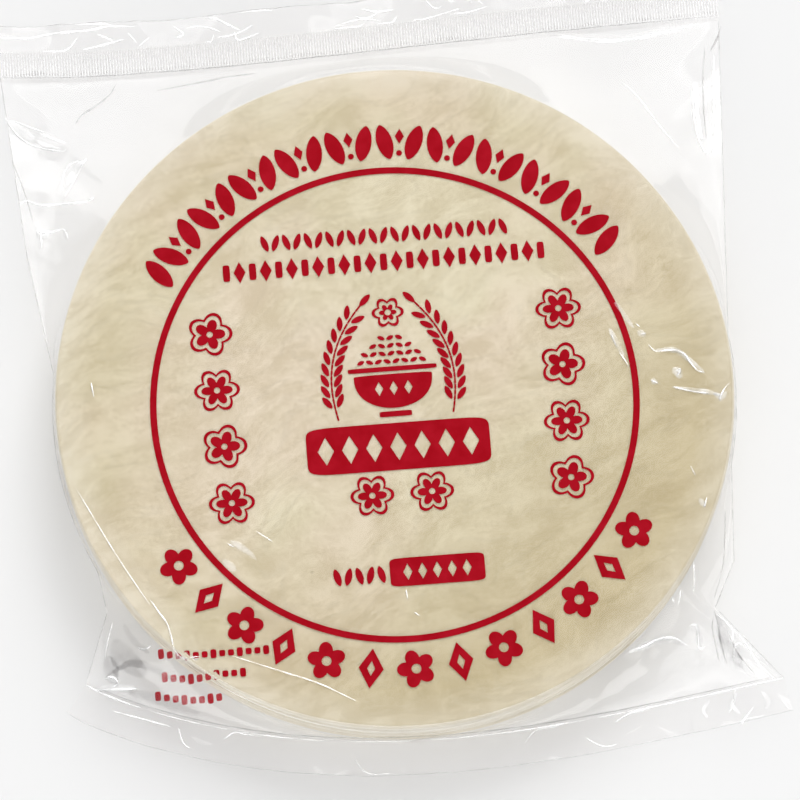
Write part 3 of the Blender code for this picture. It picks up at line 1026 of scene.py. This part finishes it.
def addNode(tree, kind, inputs={}, out=None, **settings):
    # each input is a plain value or the output that feeds it; gives back the node's output
    row, column = divmod(len(tree.nodes), nodeColumns)
    node = tree.nodes.new("ShaderNode" + kind)
    node.location = (nodeSpacing[0] * column, -nodeSpacing[1] * row)
    for key, value in settings.items():
        setattr(node, key, value)
    for key, value in inputs.items():
        if isinstance(value, bpy.types.NodeSocket):
            tree.links.new(value, node.inputs[key])
        else:
            node.inputs[key].default_value = value
    out = out or mainOutputs.get(kind)
    return node.outputs[out] if out else None


def newMaterial(name):
    material = bpy.data.materials.new(name)
    material.use_nodes = True
    material.node_tree.nodes.clear()
    return material, functools.partial(addNode, material.node_tree)


def addRamp(add, value, span=(0.0, 1.0), low=0.0, high=1.0):
    return add("MapRange", {"Value": value, "From Min": span[0], "From Max": span[1],
                            "To Min": low, "To Max": high})


def addBlend(add, share, a, b):
    return add("Mix", {"Factor": share, "A": a, "B": b}, data_type="RGBA")


def mixOverClear(add, share, tint, shader):
    clear = add("BsdfTransparent", {"Color": tint})
    mix = add("MixShader", {"Fac": share, 1: clear, 2: shader})
    add("OutputMaterial", {"Surface": mix})


filmFinish = {
    "clearTint": (0.995, 0.993, 0.992, 1.0),
    "sealedTint": (0.980, 0.977, 0.976, 1.0),
    "sealedHaze": -0.015,
    "gloss": (0.95, 0.95, 0.95, 1.0),
    "metallic": 0.85,
    "roughness": 0.08,
    "straightOn": 0.040,
    "cloud": 0.02,
    "cloudScale": 55.0,
    "grazing": 0.80,
    "grazingPower": 4.0,
}


def makeFilmMaterial(name, tint, haze):
    # clear film: mostly let through, with a mirror share that grows where the film turns away
    finish = filmFinish
    material, add = newMaterial(name)
    cloud = add("TexNoise", {"Vector": add("TexCoord"), "Scale": finish["cloudScale"],
                             "Detail": 1.0})
    base = finish["straightOn"] + haze - finish["cloud"] / 2
    veil = add("Math", {0: cloud, 1: finish["cloud"], 2: base}, operation="MULTIPLY_ADD")
    facing = add("LayerWeight", {"Blend": 0.5})
    steep = add("Math", {0: facing, 1: finish["grazingPower"]}, operation="POWER")
    share = add("Math", {0: steep, 1: finish["grazing"], 2: veil},
                operation="MULTIPLY_ADD", use_clamp=True)
    gloss = add("BsdfPrincipled", {"Base Color": finish["gloss"], "Metallic": finish["metallic"],
                                   "Roughness": finish["roughness"]})
    mixOverClear(add, share, tint, gloss)
    return material


creaseFinish = {
    "patchScale": 260.0,
    "patchRange": (0.35, 0.65),
    "patchGain": (0.55, 1.35),
    "fade": 1.5,
    "roughness": 0.16,
}

# colour, how much of the clear film it covers, and metallic
creaseLooks = {
    # painted white highlight on the creases, with a real mirror share
    "paintedFoldHighlight": (white, 0.72, 0.55),
    # painted grey shade in the folds that dip
    "shadedFilm": ((0.36, 0.34, 0.34, 1.0), 0.34, 0.0),
    "gleamingFilm": (white, 0.31, 0.55),
    # painted shade on the crumpled film
    "paintedCrumpleShade": ((0.38, 0.33, 0.33, 1.0), 0.10, 0.0),
}


def makePaintedFoldLight():
    # node group: how strongly a fold's painted highlight or shade covers the film, in patches that
    # fade away from its crest
    finish = creaseFinish
    group = bpy.data.node_groups.new("paintedFoldLight", "ShaderNodeTree")
    for socket in ("Share", "Patch Scale", "Fade"):
        group.interface.new_socket(socket, in_out="INPUT", socket_type="NodeSocketFloat")
    group.interface.new_socket("Amount", in_out="OUTPUT", socket_type="NodeSocketFloat")
    given = group.nodes.new("NodeGroupInput").outputs
    add = functools.partial(addNode, group)
    patches = add("TexNoise", {"Vector": add("TexCoord"), "Scale": given["Patch Scale"],
                               "Detail": 1.0})
    gain = addRamp(add, patches, finish["patchRange"], *finish["patchGain"])
    strength = add("Math", {0: gain, 1: given["Share"]}, operation="MULTIPLY")
    crest = add("Attribute", attribute_name="crest")
    fade = add("Math", {0: crest, 1: given["Fade"]}, operation="POWER")
    amount = add("Math", {0: strength, 1: fade}, operation="MULTIPLY", use_clamp=True)
    result = group.nodes.new("NodeGroupOutput")
    result.location = (nodeSpacing[0] * nodeColumns, 0)
    group.links.new(amount, result.inputs["Amount"])
    return group


def makeCreaseMaterial(name, paintedFoldLight):
    # a fold stroke over the clear film, whose colour lays a painted highlight or painted shade on
    # it
    colour, share, mirror = creaseLooks[name]
    material, add = newMaterial(name)
    amount = add("Group", {"Share": share, "Patch Scale": creaseFinish["patchScale"],
                           "Fade": creaseFinish["fade"]}, "Amount", node_tree=paintedFoldLight)
    fold = add("BsdfPrincipled", {"Base Color": colour, "Metallic": mirror, "Alpha": amount,
                                  "Roughness": creaseFinish["roughness"]})
    add("OutputMaterial", {"Surface": fold})
    return material


ribFinish = {
    "share": 0.50,
    "waveRange": (-0.2, 1.0),
    "fade": 0.35,
    "tint": (0.975, 0.972, 0.970, 1.0),
    "roughness": 0.16,
}


def makeRibbedMaterial():
    # pressed ribs run across the crimp: their crests carry a painted white highlight, with clear
    # film between them
    finish = ribFinish
    material, add = newMaterial("ribbedFilm")
    along = bagPlan["crimpLeft"] - bagPlan["crimpRight"]
    turns = 2 * math.pi * ribCount / along.length_squared
    start = bagPlan["crimpRight"].dot(along) * turns
    place = add("VectorMath", {0: add("TexCoord"), 1: (along.x * turns, along.y * turns, 0.0)},
                "Value", operation="DOT_PRODUCT")
    phase = add("Math", {0: place, 1: start}, operation="SUBTRACT")
    wave = add("Math", {0: phase}, operation="SINE")
    strength = addRamp(add, wave, finish["waveRange"], 0.0, finish["share"])
    firm = addRamp(add, add("Attribute", attribute_name="band"), low=finish["fade"])
    amount = add("Math", {0: strength, 1: firm}, operation="MULTIPLY")
    # the crests' white is a painted highlight
    crest = add("BsdfPrincipled", {"Base Color": white, "Roughness": finish["roughness"]})
    mixOverClear(add, amount, finish["tint"], crest)
    return material


sheetFinish = {
    "centre": (0.668, 0.566, 0.412, 1.0),
    "centreGreen": (0.648, 0.574, 0.392, 1.0),
    "outer": (0.518, 0.430, 0.248, 1.0),
    "pale": (0.975, 0.95, 0.88, 1.0),
    "deepTint": (0.885, 0.865, 0.815, 1.0),
    "lightTint": (1.095, 1.115, 1.175, 1.0),
    "swirlScale": 25.0,
    "swirl": (0.03, 0.03, 0.0),
    "greenRange": (0.40, 0.60),
    "patchScale": 90.0,
    "streakTurn": (0.0, 0.0, math.radians(25)),
    "streakScale": (1 / 60, 1 / 300, 1.0),
    "streakShare": 0.42,
    "grainScale": 900.0,
    "grainShare": 0.18,
    "mottleRange": (0.42, 0.58),
    "veinTurn": (0.0, 0.0, math.radians(29)),
    "veinScale": (1 / 34, 1 / 110, 1.0),
    "veinWidth": 0.022,
    "vein": 0.95,
    "outwardRange": (50.0 * mm, 85.0 * mm),
    "outwardShare": 0.38,
    "slant": (0.68, -0.73, 0.0),
    "slantRange": (5.0 * mm, 75.0 * mm),
    "slantShare": 0.80,
    "faceRange": (80.0 * mm, 89.0 * mm),
    "faceShare": 0.22,
    "lipRange": (89.2 * mm, 89.7 * mm),
    "lipShare": 0.55,
    "edgeRange": (0.3, 0.7),
    "edgeShare": 1.0,
    "branScale": 55.0,
    "branRange": (0.030, 0.018),
    "bran": (0.20, 0.15, 0.08, 1.0),
    "branShare": 0.35,
    "roughness": 0.55,
    "sheen": 0.15,
}


def makeSheetMaterial():
    finish = sheetFinish
    material, add = newMaterial("ricePaper")
    coords = add("TexCoord")

    # marbled patches, bent by a slow swirl
    swirl = add("TexNoise", {"Vector": coords, "Scale": finish["swirlScale"], "Detail": 2.0})
    bend = add("VectorMath", {0: swirl.node.outputs["Color"], 1: finish["swirl"], 2: coords},
               operation="MULTIPLY_ADD")
    patches = add("TexNoise", {"Vector": bend, "Scale": finish["patchScale"], "Detail": 6.0,
                               "Roughness": 0.68})

    # fine drawn streaks that run up to the right
    turned = add("Mapping", {"Vector": bend, "Rotation": finish["streakTurn"],
                             "Scale": finish["streakScale"]}, vector_type="TEXTURE")
    streaks = add("TexNoise", {"Vector": turned, "Scale": 1.0, "Detail": 4.0, "Roughness": 0.64})
    grains = add("TexNoise", {"Vector": coords, "Scale": finish["grainScale"], "Detail": 1.0})
    weave = add("Mix", {"Factor": finish["streakShare"], "A": patches, "B": streaks})
    blend = add("Mix", {"Factor": finish["grainShare"], "A": weave, "B": grains})
    shade = addRamp(add, blend, finish["mottleRange"])
    mottle = addBlend(add, shade, finish["deepTint"], finish["lightTint"])

    # thin faint lines drawn across the sheet
    drawn = add("Mapping", {"Vector": bend, "Rotation": finish["veinTurn"],
                            "Scale": finish["veinScale"]}, vector_type="TEXTURE")
    veins = add("TexNoise", {"Vector": drawn, "Scale": 1.0, "Detail": 2.5})
    offset = add("Math", {0: veins, 1: 0.5}, operation="SUBTRACT")
    aside = add("Math", {0: offset}, operation="ABSOLUTE")
    line = addRamp(add, aside, (0.0, finish["veinWidth"]), finish["vein"])
    lined = add("VectorMath", {0: mottle, "Scale": line}, operation="SCALE")

    # deeper tone outwards, and a painted shade towards the lower right
    flat = add("VectorMath", {0: coords, 1: (1.0, 1.0, 0.0)}, operation="MULTIPLY")
    reach = add("VectorMath", {0: flat}, "Value", operation="LENGTH")
    outward = addRamp(add, reach, finish["outwardRange"], 0.0, finish["outwardShare"])
    slant = add("VectorMath", {0: coords, 1: finish["slant"]}, "Value", operation="DOT_PRODUCT")
    slantShade = addRamp(add, slant, finish["slantRange"], 0.0, finish["slantShare"])
    depth = add("Math", {0: outward, 1: slantShade}, operation="ADD")
    greener = addRamp(add, swirl, finish["greenRange"])
    base = addBlend(add, greener, finish["centre"], finish["centreGreen"])
    tone = addBlend(add, depth, base, finish["outer"])

    # a sheet gets a little paler towards its rim, and its cut edge is palest
    face = addRamp(add, reach, finish["faceRange"], 0.0, finish["faceShare"])
    lip = addRamp(add, reach, finish["lipRange"], 0.0, finish["lipShare"])
    paler = add("Math", {0: face, 1: lip}, operation="MAXIMUM")
    upright = add("SeparateXYZ", {"Vector": add("NewGeometry")})
    steep = add("Math", {0: upright}, operation="ABSOLUTE")
    rim = addRamp(add, steep, finish["edgeRange"], finish["edgeShare"], paler)
    rimTone = addBlend(add, rim, tone, finish["pale"])
    calm = addBlend(add, rim, lined, white)
    shaded = add("VectorMath", {0: rimTone, 1: calm}, operation="MULTIPLY")

    # a few dark specks of bran
    bran = add("TexVoronoi", {"Vector": coords, "Scale": finish["branScale"]})
    isSpeck = addRamp(add, bran, finish["branRange"], 0.0, finish["branShare"])
    colour = addBlend(add, isSpeck, shaded, finish["bran"])
    paper = add("BsdfPrincipled", {"Base Color": colour, "Roughness": finish["roughness"],
                                   "Specular IOR Level": finish["sheen"]})
    add("OutputMaterial", {"Surface": paper})
    return material


inkFinish = {
    "full": (0.345, 0.0015, 0.0085, 1.0),
    "thin": (0.410, 0.0050, 0.0160, 1.0),
    "patchScale": 240.0,
    "roughness": 0.42,
    "sheen": 0.02,
}


def makeInkMaterial():
    finish = inkFinish
    material, add = newMaterial("redInk")
    patches = add("TexNoise", {"Vector": add("TexCoord"), "Scale": finish["patchScale"],
                               "Detail": 2.0})
    ramp = add("ValToRGB", {"Fac": patches})
    full, thin = ramp.node.color_ramp.elements
    full.position, full.color = 0.35, finish["full"]
    thin.position, thin.color = 0.75, finish["thin"]
    ink = add("BsdfPrincipled", {"Base Color": ramp, "Roughness": finish["roughness"],
                                 "Specular IOR Level": finish["sheen"]})
    add("OutputMaterial", {"Surface": ink})
    return material


# studio

studio = {
    "distance": 1.2,
    "elevation": 76.0,
    "aim": (1.45 * mm, -2.2 * mm, packTop),
    "lens": 204.1,
    "sensor": 36.0,
    "floorColour": (0.87, 0.87, 0.87, 1.0),
    "floorSize": 3.0,
    "floorDrop": 0.1 * mm,
    "skyGlow": (0.50, 0.76),
    "glowHeight": 0.8,
    "lightAim": Vector((0.0, 0.0, 0.01)),
}

# place, size, power, and whether it is seen in gloss or lights the matt surfaces
lights = {
    "keySoftbox": ((0.85, 3.00, 2.15), (2.2, 2.2), 76.0, False),
    "fillFront": ((0.0, -1.60, 0.40), (1.6, 0.5), 12.0, False),
    "stripRight": ((1.10, -0.10, 0.45), (2.0, 0.50), 6.0, True),
    "stripFront": ((-0.10, -1.10, 0.55), (2.0, 0.50), 11.0, True),
    "panelBack": ((0.0, 1.25, 0.75), (3.4, 1.90), 44.0, True),
    "panelTop": ((0.0, 0.20, 1.70), (2.0, 1.60), 10.0, True),
}


def makeFloor():
    bm = bmesh.new()
    bmesh.ops.create_grid(bm, x_segments=8, y_segments=8, size=studio["floorSize"])
    mesh = bpy.data.meshes.new("studioFloor")
    bm.to_mesh(mesh)
    bm.free()
    floor = bpy.data.objects.new("studioFloor", mesh)
    floor.location.z = -studio["floorDrop"]
    bpy.context.scene.collection.objects.link(floor)
    material, add = newMaterial("palePaperSweep")
    shader = add("BsdfPrincipled", {"Base Color": studio["floorColour"], "Roughness": 0.9,
                                    "Specular IOR Level": 0.0})
    add("OutputMaterial", {"Surface": shader})
    mesh.materials.append(material)


def makeLight(name, place, size, power, seenInGloss):
    # a light works either on the matt surfaces or only as a reflection in the film
    lamp = bpy.data.lights.new(name, "AREA")
    lamp.shape = "RECTANGLE"
    lamp.size, lamp.size_y = size
    lamp.energy = power
    light = bpy.data.objects.new(name, lamp)
    light.location = place
    aim = studio["lightAim"] - Vector(place)
    light.rotation_euler = aim.to_track_quat("-Z", "Y").to_euler()
    light.visible_glossy = seenInGloss
    light.visible_diffuse = not seenInGloss
    bpy.context.scene.collection.objects.link(light)


def makeStudio():
    makeFloor()
    for name, settings in lights.items():
        makeLight(name, *settings)
    world = bpy.data.worlds.new("studioAir")
    world.use_nodes = True
    tree = world.node_tree
    add = functools.partial(addNode, tree)
    height = add("SeparateXYZ", {"Vector": add("TexCoord", out="Generated")})
    glow = addRamp(add, height, (0.0, studio["glowHeight"]), *studio["skyGlow"])
    air = tree.nodes["Background"]
    tree.links.new(glow, air.inputs["Strength"])
    air.inputs["Color"].default_value = white
    bpy.context.scene.world = world
    bpy.context.scene.view_settings.view_transform = "Standard"


def makeCamera():
    data = bpy.data.cameras.new("productCamera")
    data.lens = studio["lens"]
    data.sensor_width = studio["sensor"]
    camera = bpy.data.objects.new("productCamera", data)
    tilt = math.radians(studio["elevation"])
    aim = Vector(studio["aim"])
    back = Vector((0.0, -math.cos(tilt), math.sin(tilt)))
    camera.location = aim + back * studio["distance"]
    camera.rotation_euler = (math.pi / 2 - tilt, 0.0, 0.0)
    bpy.context.scene.collection.objects.link(camera)
    bpy.context.scene.camera = camera


makeCamera()
makeStudio()
clearFilm = makeFilmMaterial("clearFilm", filmFinish["clearTint"], 0.0)
sealedFilm = makeFilmMaterial("sealedFilm", filmFinish["sealedTint"], filmFinish["sealedHaze"])
bag = makeFilmBag(clearFilm)
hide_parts("sealed_bag")
crimp = makeCrimpSeal(sealedFilm, makeRibbedMaterial())
skirt = makeWeldSkirt(sealedFilm)
marks = makePaintedFoldLight()
makeCreases(makeCreaseMaterial("paintedFoldHighlight", marks))
makeValleys(makeCreaseMaterial("shadedFilm", marks))
glintPiece = makeFlatStrokes("filmGlints", glints, makeCreaseMaterial("gleamingFilm", marks))
shadePiece = makeFlatStrokes("filmShades", shades, makeCreaseMaterial("paintedCrumpleShade", marks))
# clear film throws no shadow of its own
for piece in (bag, crimp, skirt, glintPiece, shadePiece):
    piece.visible_shadow = False
makeSheets(makeSheetMaterial())
makePrint(makeInkMaterial())
